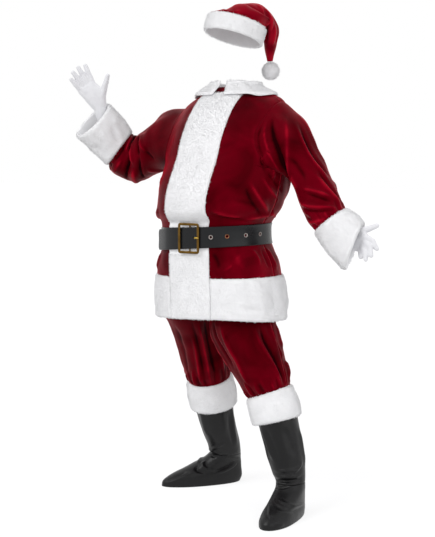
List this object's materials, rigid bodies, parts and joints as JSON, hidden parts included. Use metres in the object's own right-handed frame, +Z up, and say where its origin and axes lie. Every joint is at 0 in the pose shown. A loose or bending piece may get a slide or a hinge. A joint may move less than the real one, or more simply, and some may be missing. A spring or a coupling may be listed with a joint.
{
  "type": "santa suit",
  "caption": "Red velvet Santa suit with white plush trim, held hollow in the pose of a wearer who waves: jacket, belt, trousers, boot covers, hat and gloves.",
  "frame": {"origin": "middle of the jacket's neck opening, 1.50 m above the floor that the boot covers stand on, where the wearer carries the suit", "axes": "+Z up the wearer's back, +X to the wearer's left, -Y the way the wearer faces"},
  "size_m": [1.229, 0.5065, 1.7992],
  "materials": {
    "red_velvet": "crimson velvet with a soft sheen",
    "white_plush": "white long-pile plush",
    "white_cotton": "white knitted cotton",
    "black_leather": "satin black leather",
    "black_vinyl": "satin black imitation leather",
    "antique_brass": "darkened brass with bright edges",
    "nickel": "bright pressed metal"
  },
  "bodies": {
    "root": {"jacket_front_left": "red_velvet", "jacket_front_right": "red_velvet", "jacket_back": "red_velvet", "hem_band": "white_plush", "front_band": "white_plush", "collar": "white_plush", "sleeve_left": "red_velvet", "sleeve_right_upper": "red_velvet", "sleeve_right_lower": "red_velvet", "cuff_left": "white_plush", "cuff_right": "white_plush", "belt_strap": "black_leather", "buckle_frame": "antique_brass", "buckle_prong": "antique_brass", "eyelet_1": "nickel", "eyelet_2": "nickel", "eyelet_3": "nickel", "eyelet_4": "nickel", "trouser_left_front": "red_velvet", "trouser_left_back": "red_velvet", "trouser_right_front": "red_velvet", "trouser_right_back": "red_velvet", "trouser_cuff_left": "white_plush", "trouser_cuff_right": "white_plush", "waistband": "red_velvet", "boot_foot_left": "black_vinyl", "boot_foot_right": "black_vinyl", "boot_shaft_left": "black_vinyl", "boot_shaft_right": "black_vinyl", "hat_band": "white_plush", "hat_cone": "red_velvet", "pompom": "white_plush", "glove_left": "white_cotton", "glove_right": "white_cotton"}
  },
  "joints": []
}
